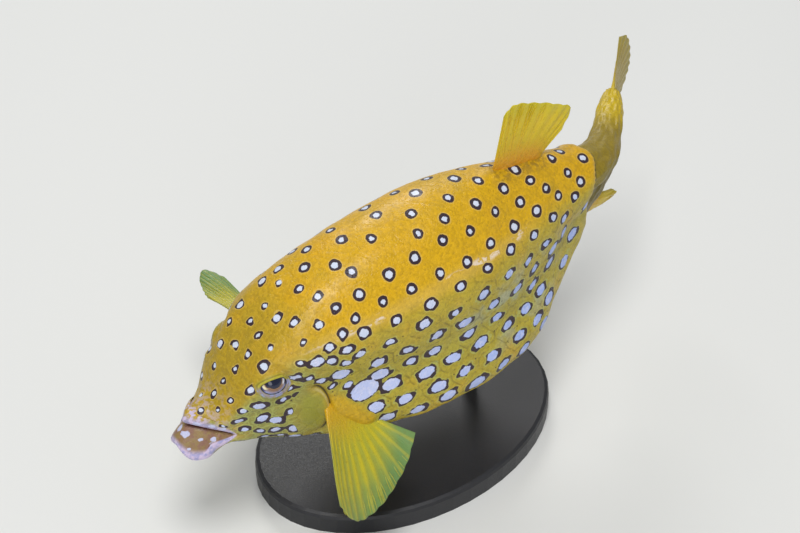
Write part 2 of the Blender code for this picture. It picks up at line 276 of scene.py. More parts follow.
def mirrored(points, side):
    """Points (s, |y|, z) with their y on the given side."""
    return points * np.stack([np.ones_like(side), side, np.ones_like(side)], -1)


def unit(vectors):
    return vectors / np.maximum(np.linalg.norm(vectors, axis=-1, keepdims=True), 1e-9)


def to_segment(points, start, end):
    """Distance of points from a straight line between two places."""
    start, end = np.array(start, float), np.array(end, float)
    along = np.clip((points - start) @ (end - start) / ((end - start) @ (end - start)), 0, 1)
    return np.linalg.norm(points - start - along[..., None] * (end - start), axis=-1)


# The skin

def skin_columns():
    """Places u of the skin's columns, down the left side and up the right, and the side of each."""
    half = np.concatenate([k + np.arange(n) / n for k, n in enumerate(COLUMNS)] + [[4.0]])
    u = np.concatenate([half, half[-2:0:-1]])
    side = np.concatenate([np.full(len(half), LEFT), np.full(len(half) - 2, RIGHT)])
    return u, side


def mouth_turn(u):
    """The share of a quarter turn from the mouth's midline to its corner, and whether it is above."""
    above = u <= MOUTH_CORNER_U
    return math.pi / 2 * np.where(above, u / MOUTH_CORNER_U, (4 - u) / (4 - MOUTH_CORNER_U)), above


def mouth_ring(shape, u):
    """One ring of the mouth as (s, |y|, z)."""
    (upper_s, upper_z), (corner_s, corner_y, corner_z), (lower_s, lower_z), square, sag = shape
    turn, above = mouth_turn(u)
    front_s, front_z = np.where(above, upper_s, lower_s), np.where(above, upper_z, lower_z)
    back = (1 - np.cos(turn)) ** np.where(above, 0.6, square)
    rise = np.clip(np.cos(turn), 0, 1) ** 0.75
    degrees = np.degrees(turn)
    first, full, last, end = LIP_HANG
    hang = np.where(above, 0, sag * fade(degrees, first, full) * (1 - fade(degrees, last, end)))
    return np.stack([front_s + (corner_s - front_s) * back, corner_y * np.sin(turn),
                     corner_z + (front_z - corner_z) * rise - hang], -1)


def border_s(u):
    upper, corner, lower = MOUTH_BORDER_S
    turn, above = mouth_turn(u)
    return np.where(above, upper, lower) + (corner - np.where(above, upper, lower)) * np.sin(turn) ** 2


def smooth_rings(rings, steps):
    """Rings on a smooth path through the given ones, `steps` to a gap, without the last one."""
    found = []
    padded = [2 * rings[0] - rings[1]] + list(rings) + [2 * rings[-1] - rings[-2]]
    for p0, p1, p2, p3 in zip(padded, padded[1:], padded[2:], padded[3:]):
        for t in np.arange(steps) / steps:
            found.append(p1 + 0.5 * t * (p2 - p0 + t * (2 * p0 - 5 * p1 + 4 * p2 - p3
                                                       + t * (3 * (p1 - p2) + p3 - p0))))
    return found


def skin_grid():
    """The plain skin as rings of (s, |y|, z), with columns, sides and how far over the lips a ring is."""
    u, side = skin_columns()
    start = border_s(u)
    mouth = [mouth_ring(shape, u) for shape in MOUTH_RINGS]
    mouth = smooth_rings(mouth + [body_surface(start, u)], LIP_STEPS)
    head = [body_surface(start + (HEAD_END_S - start) * q, u) for q in np.arange(HEAD_RINGS) / HEAD_RINGS]
    trunk = [body_surface(s, u) for s in np.arange(HEAD_END_S, TAIL_END_S, TRUNK_RING_GAP)]
    over_lips = np.concatenate([np.arange(len(mouth)) / LIP_STEPS, np.full(len(head) + len(trunk), 6.0)])
    return np.array(mouth + head + trunk), u, side, over_lips


def lip_spot_field(points, u):
    """How far each place is from the nearest pale spot of the lips, 1 being its edge."""
    share = np.full(points.shape[:2], 9.0)
    for upper, degrees, over, half in LIP_SPOTS:
        at = MOUTH_CORNER_U * degrees / 90 if upper else 4 - (4 - MOUTH_CORNER_U) * degrees / 90
        centre = points[round(over * LIP_STEPS), np.argmin(np.abs(u - at))]
        share = np.minimum(share, np.linalg.norm((points - centre) * (1, 1, 1.6), axis=-1) / half)
    return share


def outward(points):
    """Unit normals of a ring grid of body points."""
    along = np.gradient(points, axis=0)
    round_it = (np.roll(points, -1, axis=1) - np.roll(points, 1, axis=1)) / 2
    return unit(np.cross(round_it, along))


def lid_axes():
    """The eye's opening, at a positive y: its middle, along it, up it, and degrees to a corner."""
    front, rear = unit(LID_CORNERS * (1, -1, 1))
    aim = unit(front + rear)
    along = unit(rear - front)
    up = np.cross(along, aim)
    return aim, along, up * np.sign(up[2]), np.degrees(np.arccos(front @ aim))


def lid_place(points):
    """For points (s, |y|, z): distance from the eye's centre, direction, distance in mm outside the
    edge of the opening (negative inside), and how far up (1) or down (-1) that edge is."""
    aim, along, up, wide = lid_axes()
    away = points - EYE_PLACE
    reach = np.linalg.norm(away, axis=-1)
    direction = unit(away)
    angle = np.degrees(np.arccos(np.clip(direction @ aim, -1, 1)))
    turn = np.arctan2(direction @ up, direction @ along)
    across, upwards = angle * np.cos(turn), angle * np.sin(turn)
    high, low = LID_OPENING
    tall = np.where(upwards > 0, high, low)
    share = np.hypot(across / wide, upwards / tall)
    slope = np.hypot(across / wide**2, upwards / tall**2)
    gap = (share - 1) * share / np.maximum(slope, 1e-6)
    gap = np.where(direction @ aim > 0, np.minimum(gap, 90.0), 90.0)
    gap = np.radians(gap) * EYE_RADIUS + 9.0 * fade(reach, EYE_RADIUS + 3.0, EYE_RADIUS + 7.0)
    return reach, direction, gap, np.sin(turn) * fade(angle, 0, 5)


def shape_eye_sockets(points):
    """Draws the skin down behind the eyeball and up into lids round it."""
    reach, direction, gap, upper = lid_place(points)
    brow = fade(upper, -0.1, 0.5)
    rim = EYE_RADIUS + 0.35 + 0.45 * brow
    sunk = EYE_RADIUS - 1.2
    target = sunk + (rim - sunk) * fade(gap, -0.45, 0.40)
    blend = fade(gap, 0.7, 4.6)
    wanted = (1 - blend) * target + blend * reach
    near = (reach < 15) & (gap < 4.6)
    moved = EYE_PLACE + direction * wanted[..., None]
    return np.where(near[..., None], moved, points), gap, upper


def past_shell(s, u):
    """How far places lie behind the shell's rear rim, in mm."""
    top, flank = SHELL_REACH
    return s - (top + (flank - top) * fade(u, 0.1, 1.7))


def gill_place(points):
    """How far points lie from the gill cover's middle, 1 being its edge, and how far to its rear."""
    ds, dz = np.moveaxis((points[..., ::2] - GILL_CENTRE) / GILL_RADII, -1, 0)
    share = np.hypot(ds, dz)
    return np.where(points[..., 1] > 8, share, 9.0), ds / np.maximum(share, 0.01)


def relief(points, u, side):
    """How far the skin stands off the plain body surface at each point, in mm."""
    s = points[..., 0]
    signed = mirrored(points, side)
    height = 0.22 * ripple(signed, 9.0, 3) + 0.07 * ripple(signed, 3.2, 4)
    gill, rear = gill_place(points)
    height += 0.65 * (1 - fade(gill, 0.1 + 0.65 * fade(rear, -0.4, 0.5), 1.04))
    height -= 1.0 * hump(gill - 1.13, 0.10) * fade(rear, -0.35, 0.45)
    height += 0.35 * hump(gill - 1.5, 0.22) * fade(rear, 0.1, 0.8)
    for start, end, swell, width in ROOT_SWELLS:
        height += swell * hump(to_segment(points, start, end), width)
    behind = past_shell(s, u)
    height += 0.45 * hump(behind + 2.2, 3.0) * (behind < 0.35)
    height -= 0.75 * fade(behind, -0.35, 0.45) * (1 - fade(behind, 1.0, 12.0))
    height += 0.35 * hump(s - 200.0, 6.0)
    wrinkle = np.sin(u * 13 + 1.5 * ripple(signed, 7.0, 8)) * np.sin(s * 0.45 + 2 * ripple(signed, 9.0, 9))
    height += 0.20 * wrinkle * fade(behind, 0.5, 5)
    height += 0.16 * ripple(signed * (0.35, 1, 1), 2.4, 10) * hump(behind - 7, 9.0)
    nostril = np.linalg.norm(points - NOSTRIL, axis=-1)
    height += 0.45 * hump(nostril - 1.1, 0.5) - 0.8 * hump(nostril, 0.6)
    cheek = np.linalg.norm((points - CHEEK) * (0.7, 0.4, 1), axis=-1)
    return height + 0.5 * hump(cheek, 6.0)


def spot_centres(points, u, side, rng):
    """Spots as rows of (s, signed y, z, radius, rim width, lengthening, tilt of the long axis)."""
    found = []

    def take(place, radius, rim, longer, least, tilt):
        place = np.array(place)
        if all(np.linalg.norm(place - other[:3]) > least for other in found):
            found.append(np.array([*place, radius, rim, longer, tilt]))

    for side_of_row in (LEFT, RIGHT):
        for at, start, gap, radius, rim in SPOT_ROWS:
            flank = fade(at, 0.9, 1.6)
            s = start + (0 if side_of_row == LEFT else gap / 2)
            shell_end = -past_shell(0, at)
            while s < shell_end - 3:
                place = body_surface(s + rng.normal(0, 0.7), at + rng.normal(0, 0.025))
                size = radius * rng.uniform(0.80, 1.20) * (1 - 0.15 * fade(s, 125, 155))
                swell = 1 + math.exp(-np.linalg.norm(place - SHOULDER) ** 2 / 60)
                least = (5.0 + 0.7 * flank) * (0.85 if swell > 1.2 else 1)
                tilt = flank * (math.radians(22) * fade(s, 75, 125) + rng.normal(0, 0.12))
                longer = 1 + (SPOT_LENGTH - 1) * flank * rng.uniform(0.7, 1.2)
                take(place * (1, side_of_row, 1), size * swell, rim, longer, least, tilt)
                s += gap * (1 - 0.24 * flank * fade(s, 90, 125))
    first_s, last_s = HEAD_SPOTS_S
    on_head = np.argwhere((points[..., 0] < last_s) & (points[..., 0] > first_s))
    for ring, column in rng.permutation(on_head)[:HEAD_SPOT_TRIES]:
        place = points[ring, column] * (1, side[column], 1)
        top = 1 - fade(u[column], 0.8, 1.3)
        front = 1 - fade(place[0], 6, 20)
        least = 4.8 + 1.2 * top - 0.9 * front
        radius = (0.95 + 0.22 * (1 - top)) * rng.uniform(0.60, 1.30) * (1 - 0.35 * front)
        longer = 1.15 + 0.35 * (1 - top) * rng.uniform(0.4, 1.6)
        take(place, radius, 0.85 - 0.2 * front, longer, least, rng.normal(0.3 * top, 0.3))
    return np.array(found)


def spot_fields(places, spots):
    """For each place: distance into the nearest spot's rim, to its plate's edge, and nearness to its ends.

    The first is below 0 on the white centre, 0 to 1 on the dark rim and above 1 outside.
    """
    rim_place, plate_edge, ends = np.empty((3, len(places)))
    centres, radius, rim, longer, tilt = spots[:, :3], *spots[:, 3:].T
    for first in range(0, len(places), 4000):
        some = slice(first, first + 4000)
        away = places[some, None] - centres[None]
        plain = np.linalg.norm(away, axis=2)
        near = np.sort(plain, axis=1)[:, :2]
        plate_edge[some] = (near[:, 1] - near[:, 0]) / 2
        along = away[..., 0] * np.cos(tilt) + away[..., 2] * np.sin(tilt)
        gap = (np.sqrt(np.maximum(plain**2 - along**2 * (1 - 1 / longer**2), 0)) - radius) / rim
        nearest = gap.argmin(axis=1)[:, None]
        rim_place[some] = np.take_along_axis(gap, nearest, 1)[:, 0]
        ends[some] = np.take_along_axis(np.abs(along) / np.maximum(plain, 0.3), nearest, 1)[:, 0]
    return rim_place, plate_edge, ends


def ring_faces(rings, around):
    """Quads between rings of as many points each."""
    i, j = np.meshgrid(np.arange(rings - 1), np.arange(around), indexing="ij")
    here, beside = i * around + j, i * around + (j + 1) % around
    return np.stack([here, beside, beside + around, here + around], -1).reshape(-1, 4)


def closed_faces(rings, around):
    """Faces of rings whose first and last are closed by two more points, which come after them."""
    faces = list(ring_faces(rings, around))
    first, last = rings * around, rings * around + 1
    end = first - around
    for j in range(around):
        k = (j + 1) % around
        faces += [(first, k, j), (last, end + j, end + k)]
    return faces


def show(name, data):
    """An object of the scene, at the origin."""
    made = bpy.data.objects.new(name, data)
    bpy.context.scene.collection.objects.link(made)
    return made


def carry(mesh, fields):
    """Gives a mesh's points the values that the finishes read."""
    for field, values in fields.items():
        layer = mesh.attributes.new(field, "FLOAT", "POINT")
        layer.data.foreach_set("value", np.asarray(values, np.float32).ravel())


def new_piece(name, points, faces, material, fields):
    """A mesh object in the frame, from body points, faces and point attributes."""
    mesh = bpy.data.meshes.new(name)
    mesh.from_pydata(placed(points).tolist(), [], [list(map(int, face)) for face in faces])
    mesh.shade_smooth()
    carry(mesh, fields)
    mesh.materials.append(material)
    mesh.validate()
    return show(name, mesh)


def ring_map(mesh, rings, around):
    """A map on a ring mesh: round the body across it and along the body up it."""
    corner_verts = np.empty(len(mesh.loops), int)
    mesh.loops.foreach_get("vertex_index", corner_verts)
    totals = np.array([polygon.loop_total for polygon in mesh.polygons])
    across = (corner_verts % around) / around
    up = np.minimum(corner_verts // around, rings - 1) / (rings - 1)
    seam = np.maximum.reduceat(across, np.cumsum(totals) - totals) > 0.7
    wraps = np.repeat(seam, totals) & (across < 0.3)
    across = np.where(wraps, across + 1, across)
    layer = mesh.uv_layers.new(name="OFBake")
    places = np.stack([0.004 + 0.992 * across, 0.004 + 0.992 * up], -1)
    layer.data.foreach_set("uv", places.astype(np.float32).ravel())


def make_skin(finish):
    plain, u, side, over_lips = skin_grid()
    rings, columns = plain.shape[:2]
    lidded, lid, upper_lid = shape_eye_sockets(plain)
    lift = relief(plain, u[None], np.broadcast_to(side, lid.shape))
    lift *= fade(over_lips, 4.0, 6.0)[:, None] * fade(lid, 1.5, 4.6)
    points = mirrored(lidded, side) + outward(mirrored(plain, side)) * lift[..., None]
    spots = spot_centres(plain, u, side, np.random.default_rng(11))
    rim_place, plate_edge, ends = spot_fields(mirrored(plain, side).reshape(-1, 3), spots)
    gill, rear = gill_place(plain)
    behind = past_shell(plain[..., 0], u[None])
    fin_root = to_segment(plain, *PAINTED_ROOT)
    # No spots on the lids, the gill cover, the pectoral fins' roots, the lips and the tail stalk
    bare = 1 - np.minimum.reduce([
        fade(lid, 0.9, 2.0), fade(gill, 1.0, 1.35), fade(fin_root, 2.8, 4.4),
        np.broadcast_to(fade(over_lips, 4.6, 5.4)[:, None], lid.shape), 1 - fade(behind, -1.5, -0.3)])
    fields = {
        "along": plain[..., 0], "around": np.broadcast_to(u, lid.shape), "behind": behind,
        "over_lips": np.broadcast_to(over_lips[:, None], lid.shape), "lip_spot": lip_spot_field(plain, u),
        "spot": rim_place, "plate": plate_edge, "ends": ends, "bare": bare,
        "fin_root": np.minimum(fin_root, 20.0), "lid": np.minimum(lid, 8.0), "upper_lid": upper_lid,
        "gill": gill, "gill_rear": rear,
    }
    flat = points.reshape(-1, 3)
    tail = flat[-columns:].mean(axis=0) + (1.0, 0, 0)
    # The two points that close the skin, inside the mouth and at the tail, take a neighbour's values.
    neighbours = [0, (rings - 1) * columns]
    fields = {name: np.append(values, values.ravel()[neighbours]) for name, values in fields.items()}
    faces = closed_faces(rings, columns)
    skin = new_piece("skin", np.vstack([flat, MOUTH_INSIDE, tail]), faces, finish, fields)
    ring_map(skin.data, rings, columns)
    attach(skin, "root")
    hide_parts("head", "trunk_front", "trunk_rear", "tail_peduncle", "gill_cover_left",
                "gill_cover_right", "upper_lip", "lower_lip")


# Materials

def colour(code):
    """Linear RGBA of a colour written in hexadecimal."""
    values = [int(code[k:k + 2], 16) / 255 for k in (0, 2, 4)]
    return tuple(v / 12.92 if v < 0.04045 else ((v + 0.055) / 1.055) ** 2.4 for v in values) + (1.0,)


def feed(tree, socket, value):
    """Gives a socket a value, or the output that feeds it."""
    if isinstance(value, bpy.types.NodeSocket):
        tree.links.new(value, socket)
    else:
        socket.default_value = value


def add_node(tree, kind, inputs, **settings):
    node = tree.nodes.new(kind)
    for key, value in settings.items():
        setattr(node, key, value)
    for key, value in inputs.items():
        feed(tree, node.inputs[key], value)
    return node


class Recipe:
    """The nodes of one material, with sizes in mm; `base` is the colour so far."""

    def __init__(self, name):
        self.material = bpy.data.materials.new(name)
        self.material.use_nodes = True
        self.tree = self.material.node_tree
        self.shader = self.tree.nodes["Principled BSDF"]
        self.object_place = self.add("ShaderNodeTexCoord", {}, "Object")
        self.base = None

    def add(self, kind, inputs, output=0, **settings):
        return add_node(self.tree, kind, inputs, **settings).outputs[output]

    def field(self, name):
        return self.add("ShaderNodeAttribute", {}, "Fac", attribute_name=name)

    def maths(self, operation, first, second):
        return self.add("ShaderNodeMath", {0: first, 1: second}, operation=operation)

    def times(self, first, *others):
        for other in others:
            first = self.maths("MULTIPLY", first, other)
        return first

    def plus(self, first, *others):
        for other in others:
            first = self.maths("ADD", first, other)
        return first

    def fade(self, value, start, end, low=0.0, high=1.0):
        inputs = {0: value, 1: start, 2: end, 3: low, 4: high}
        return self.add("ShaderNodeMapRange", inputs, interpolation_type="SMOOTHSTEP")

    def band(self, value, start, full, last, end):
        """Rises from 0 at start to 1 at full, and falls from there at last to 0 at end."""
        return self.times(self.fade(value, start, full), self.fade(value, end, last))

    def mix(self, share, first, second, kind="MIX"):
        """From the first to the second colour, each an output or a code."""
        first, second = (colour(tone) if isinstance(tone, str) else tone for tone in (first, second))
        inputs = {0: share, 6: first, 7: second}
        return self.add("ShaderNodeMix", inputs, 2, data_type="RGBA", blend_type=kind)

    def coat(self, tone, *shares):
        """Lays a colour over the base, as strong as the product of the shares."""
        self.base = self.mix(self.times(*shares), self.base, tone)

    def stretched(self, stretch):
        return self.add("ShaderNodeMapping", {0: self.object_place, "Scale": stretch})

    def noise(self, size, detail=2.0, place=None):
        inputs = {"Vector": place or self.object_place, "Scale": 1 / (size * MM), "Detail": detail}
        return self.add("ShaderNodeTexNoise", inputs, "Fac")

    def cells(self, size, feature="F1", output="Distance"):
        inputs = {"Vector": self.object_place, "Scale": 1 / (size * MM)}
        return self.add("ShaderNodeTexVoronoi", inputs, output, feature=feature)

    def ramp(self, value, *stops):
        node_output = self.add("ShaderNodeValToRGB", {0: value})
        band = node_output.node.color_ramp
        while len(band.elements) < len(stops):
            band.elements.new(0.5)
        for element, (place, code) in zip(band.elements, stops):
            element.position = place
            element.color = colour(code)
        return node_output

    def bump(self, height, depth, under=None):
        """Bump of a height of 0 to 1 that stands for `depth` mm."""
        inputs = {"Height": height, "Distance": depth * MM, "Strength": 1.0}
        if under is not None:
            inputs["Normal"] = under
        return self.add("ShaderNodeBump", inputs)

    def finish(self, roughness, normal=None, **constants):
        feed(self.tree, self.shader.inputs["Base Color"], self.base)
        feed(self.tree, self.shader.inputs["Roughness"], roughness)
        if normal is not None:
            feed(self.tree, self.shader.inputs["Normal"], normal)
        for name, value in constants.items():
            self.shader.inputs[name.replace("_", " ")].default_value = value
        return self.material


def skin_finish():
    r = Recipe("painted boxfish skin")
    along, around, behind = r.field("along"), r.field("around"), r.field("behind")
    bare, plate = r.field("bare"), r.field("plate")
    patchy, fine = r.noise(11.0, 3.0), r.noise(1.6, 3.0)

    # From the golden back over the olive flank to the pale belly
    shifted = r.plus(around, r.times(r.plus(patchy, -0.5), 0.45))
    r.base = r.ramp(r.times(shifted, 0.25), (0.0, "C89C08"), (0.21, "CFA20C"), (0.252, "C6A11C"),
                    (0.30, "B19C30"), (0.50, "A79A34"), (0.70, "B3A02A"), (0.82, "BFA844"),
                    (1.0, "CDBD7C"))
    head_share = r.fade(along, 50.0, 20.0)
    cheek_share = r.times(head_share, r.fade(around, 0.9, 1.4))
    r.coat("9C8620", head_share, 0.75)
    r.coat("8C9150", cheek_share, 0.75)
    r.coat("D29C04", r.fade(patchy, 0.50, 0.72), 0.30)
    r.coat("A58C20", r.fade(patchy, 0.48, 0.30), 0.30)
    # Painted shade on the tail stalk: its olive is laid on darker than the fish's own colour, and darker
    # still towards the underside.
    stalk = r.fade(behind, -0.2, 0.6)
    r.coat(r.mix(r.fade(around, 0.8, 2.6), "7A6C16", "564A14"), stalk, 0.85)
    tail_root = r.times(r.fade(along, 180.0, 196.0), r.fade(around, 3.2, 2.0))
    r.coat("C4A80E", tail_root, 0.85)
    rim_edge = r.band(behind, -1.6, -0.6, -0.1, 0.3)
    r.coat("D8B43C", rim_edge, 0.5)
    # Painted shade: a dark line at the step just behind the shell's rear rim.
    r.coat("3E3A16", r.band(behind, -0.2, 0.3, 0.6, 1.6), 0.7)
    fin_root = r.fade(r.plus(r.field("fin_root"), r.times(r.plus(fine, -0.5), 2.0)), 5.2, 2.6)
    r.coat("C9A012", fin_root, 0.85)
    haze = r.times(r.band(along, 78.0, 100.0, 122.0, 142.0), r.fade(around, 1.2, 1.7))
    haze = r.times(haze, r.fade(around, 2.7, 2.2), r.fade(patchy, 0.48, 0.62))
    r.coat("93AEAA", haze, 0.5)
    fin_base = r.times(r.band(along, 113.0, 120.0, 137.0, 144.0), r.fade(around, 0.30, 0.10))
    r.coat("7D6428", fin_base, r.fade(fine, 0.35, 0.6), 0.6)

    # Fine grains, and the thin lines and dots between the spots of the face and flank
    grains = r.cells(0.8)
    grain_tone = r.cells(0.8, output="Color")
    r.base = r.mix(1.0, r.base, r.fade(grain_tone, 0.0, 1.0, 0.84, 1.10), "MULTIPLY")
    snout = r.fade(along, 14.0, 3.0)
    r.coat("B3A09E", snout, r.fade(fine, 0.46, 0.60), 0.75)
    r.coat("BDB4D6", r.fade(along, 5.0, 0.0), r.fade(fine, 0.42, 0.58), 0.8)
    web_lines = r.fade(r.cells(3.1, "DISTANCE_TO_EDGE"), 0.07, 0.015)
    web_lines = r.times(web_lines, cheek_share, r.fade(r.field("gill"), 0.95, 1.15))
    r.coat("B4BC66", web_lines, 0.45)
    flank = r.band(around, 1.05, 1.5, 3.0, 3.4)
    dots = r.times(r.fade(r.cells(2.4), 0.17, 0.10), r.fade(r.noise(4.0), 0.50, 0.55))
    r.coat("3B2C22", dots, flank, r.fade(bare, 0.9, 0.3), 0.85)

    # Faint joints of the shell's plates
    joint = r.times(r.fade(plate, 0.45, 0.1), r.fade(along, 40.0, 60.0), r.fade(behind, -1.0, -8.0))
    joint = r.times(joint, r.fade(r.noise(3.0), 0.40, 0.55))
    r.coat("5E5420", joint, r.fade(around, 0.8, 1.5, 0.08, 0.50))

    # A pale band and pale streaks along the upper ridge
    ridge = r.band(around, 0.86, 1.0, 1.02, 1.16)
    streaks = r.noise(3.0, 4.0, r.stretched((0.30, 1, 1)))
    ridge_run = r.times(ridge, r.band(along, 30, 42, 112, 130))
    r.coat("D9B46A", ridge_run, 0.22)
    crest = r.times(r.band(around, 0.92, 0.97, 1.02, 1.08), ridge_run, r.fade(fine, 0.40, 0.52))
    r.coat("E2D2C2", crest, r.fade(streaks, 0.52, 0.58), 0.85)

    paint_spots(r, along, around, bare)
    paint_gill_cover(r, around)
    paint_lids(r)
    mouth = paint_lips(r, around, fine)

    grain_height = r.plus(r.times(r.fade(grains, 0.0, 0.55, 1.0, 0.0), 0.6), r.times(fine, 0.4))
    normal = r.bump(grain_height, 0.14)
    normal = r.bump(r.fade(plate, 0.0, 0.7), 0.10, normal)
    roughness = r.fade(r.noise(3.0, 3.0), 0.3, 0.7, 0.36, 0.52)
    roughness = r.times(roughness, r.fade(mouth, 0.0, 1.0, 1.0, 0.6))
    return r.finish(roughness, normal, Coat_Weight=0.08, Coat_Roughness=0.25, Specular_IOR_Level=0.35)


def paint_spots(r, along, around, bare):
    """White centres, blotchy dark rims that thin to nothing in places, and a thin pale line round them."""
    spot = r.plus(r.field("spot"), r.times(bare, 9.0))
    flank = r.fade(around, 0.8, 1.6)
    ends = r.times(r.fade(r.field("ends"), 0.45, 0.90), flank, 0.50)
    uneven = r.maths("MAXIMUM", flank, r.times(r.fade(along, 50.0, 38.0), 0.8))
    blotch = r.plus(r.noise(2.6, 0.5), -0.5)
    head_rim = r.fade(along, 50.0, 38.0, 0.0, 0.14)
    blotch = r.times(blotch, r.fade(uneven, 0.0, 1.0, 1.2, 3.4))
    outer = r.plus(r.fade(uneven, 0.0, 1.0, 1.05, 0.42), head_rim, ends, blotch)
    outer = r.maths("MAXIMUM", r.maths("MINIMUM", outer, 1.35), 0.02)
    beyond = r.plus(spot, r.times(outer, -1.0))
    halo = r.band(beyond, 0.0, 0.14, 0.28, 0.55)
    r.coat(r.mix(r.fade(around, 0.9, 1.4), "D0B468", "A9B56C"), halo, 0.45)
    r.coat("33242C", r.fade(beyond, 0.10, -0.08))
    white = r.plus(spot, r.times(r.plus(r.noise(1.2, 2.0), -0.5), 1.1))
    tone = r.mix(r.fade(around, 0.8, 1.8), "C6CFE0", "BCC6EE")
    tone = r.mix(r.times(flank, r.fade(along, 60.0, 120.0), 0.8), tone, "94ABE6")
    tone = r.mix(r.fade(r.noise(1.3), 0.45, 0.7, 0.0, 0.4), tone, "DEDAEC")
    r.coat(tone, r.fade(white, 0.08, -0.14))


def paint_gill_cover(r, around):
    """A plain olive cover with a pale rear edge in front of its slit, which is darkened as painted shade.
    """
    gill, rear = r.field("gill"), r.field("gill_rear")
    r.coat("8C8A2A", r.fade(gill, 1.10, 0.55), 0.8)
    hind = r.fade(rear, -0.1, 0.45)
    edge = r.times(r.band(gill, 0.90, 0.98, 1.01, 1.07), hind)
    r.coat("C9BC86", edge, 0.5)
    # Painted shade in the gill slit behind the cover.
    slit_shade = r.times(r.band(gill, 1.05, 1.11, 1.14, 1.22), hind, r.fade(around, 2.95, 2.75))
    r.coat("2E2616", slit_shade, 0.9)


def paint_lids(r):
    """A yellow-green brow, lavender and blue patches under the eye, and painted shade in the fold above
    the lid and where the lid meets the eyeball.
    """
    lid, upper = r.field("lid"), r.field("upper_lid")
    above = r.fade(upper, -0.15, 0.2)
    under_tone = r.mix(r.fade(r.noise(2.2), 0.46, 0.54), "9A8F7E", "8EA2DC")
    tone = r.mix(above, under_tone, "A69B2C")
    r.coat(tone, r.fade(lid, 1.9, 1.1), 0.75)
    line = r.band(lid, 0.15, 0.40, 0.60, 0.85)
    r.coat(r.mix(above, "857A94", "B4AE34"), line, 0.8)
    # Painted shade in the fold above the upper lid.
    fold_shade = r.times(r.band(lid, 0.75, 0.95, 1.1, 1.4), above)
    r.coat("5A501A", fold_shade, 0.45)
    # Painted shade: near black where the lid tucks in against the eyeball.
    r.coat("17131C", r.fade(lid, 0.28, 0.05))


def paint_lips(r, around, fine):
    """Lavender-white rims, the lower lip's mottled tan top and the mouth's inside darkened as painted
    shade, whose near-black share it returns.
    """
    over_lips = r.field("over_lips")
    lower = r.fade(around, MOUTH_CORNER_U - 0.06, MOUTH_CORNER_U + 0.06)
    rim_tone = r.mix(r.fade(fine, 0.38, 0.6), "A3A0CC", "CDBCD8")
    tan = r.mix(r.fade(r.noise(2.6, 3.0), 0.38, 0.62), "84604E", "8C7446")
    pale = r.fade(r.plus(r.field("lip_spot"), r.times(r.plus(fine, -0.5), 1.2)), 1.1, 0.8)
    lip_tone = r.mix(r.fade(over_lips, 2.35, 2.95), tan, rim_tone)
    r.coat(lip_tone, lower, r.fade(over_lips, 5.0, 3.9))
    upper_rim = r.times(r.fade(lower, 1.0, 0.0), r.fade(over_lips, 4.4, 3.0))
    r.coat(rim_tone, upper_rim, r.fade(fine, 0.2, 0.5, 0.7, 1.0))
    r.coat("C3C8E8", pale, 0.85)
    # Painted shade at the lips' inner edge: a dark red-brown, partly their own colour.
    r.coat("5A2A1E", r.fade(over_lips, 1.35, 0.95))
    # Painted shade: the inside of the mouth near black.
    mouth = r.fade(over_lips, 0.95, 0.55)
    r.coat("140605", mouth)
    return mouth


def eye_finish():
    r = Recipe("glossy eye")
    angle, front, rear = r.field("from_gaze"), r.field("front"), r.field("rear")
    fleck = r.noise(0.9, 4.0)
    wavering = r.plus(angle, r.times(r.plus(fleck, -0.5), 3.0))
    r.base = r.ramp(r.times(wavering, 1 / 90), (0.0, "060C26"), (0.225, "0A1434"), (0.25, "1A1420"),
                    (0.268, "9A7248"), (0.30, "7E5C48"), (0.36, "8C7060"), (0.42, "8F86A0"),
                    (0.47, "9BA6D8"), (0.54, "5F6AAE"), (0.7, "8A8EBC"))
    r.coat("E4DCB4", front, r.band(angle, 24, 28, 32, 36))
    r.coat("1D2A66", front, r.fade(angle, 33, 36))
    # Painted highlight: a white patch at the rear of the iris.
    r.coat("DDE0EE", rear, r.band(angle, 25, 29, 33, 37))
    r.coat("2A2436", rear, r.fade(angle, 34, 37))
    return r.finish(0.2, None, Coat_Weight=0.7, Coat_Roughness=0.02, Specular_IOR_Level=0.3)


def fin_finish(name, root, web, edge, rear=0.0):
    """A fin's colours from its root over its web to its edge; `rear` moves the last to the rear."""
    r = Recipe(name)
    out, across, ray = r.field("out"), r.field("across"), r.field("ray")
    patchy, fine = r.noise(6.0, 3.0), r.noise(0.9, 3.0)
    reach = r.plus(out, r.times(across, rear), r.times(r.plus(patchy, -0.5), 0.25))
    r.base = r.mix(r.fade(reach, 0.12, 0.62), root, web)
    r.coat(edge, r.fade(reach, 0.78, 1.0 + 0.62 * rear))
    between = r.fade(ray, 0.25, 0.75)
    r.coat(edge, between, r.fade(out, 0.2, 0.5), 0.35)
    r.coat("CDB822", r.fade(ray, 0.35, 0.1), r.fade(out, 0.15, 0.35), 0.3)
    r.coat("7C6410", r.fade(fine, 0.55, 0.7), 0.25)
    fan = r.add("ShaderNodeCombineXYZ", {0: r.times(across, 0.14), 1: r.times(out, 0.004)})
    threads = r.noise(0.7, 2.0, fan)
    normal = r.bump(threads, 0.12)
    normal = r.bump(r.times(r.cells(0.8), r.fade(out, 0.45, 0.2)), 0.16, normal)
    return r.finish(r.fade(fine, 0.3, 0.7, 0.34, 0.5), normal, Coat_Weight=0.1, Coat_Roughness=0.2,
                    Subsurface_Weight=0.12, Subsurface_Radius=(0.9, 0.7, 0.2), Subsurface_Scale=0.002)


# Eyes

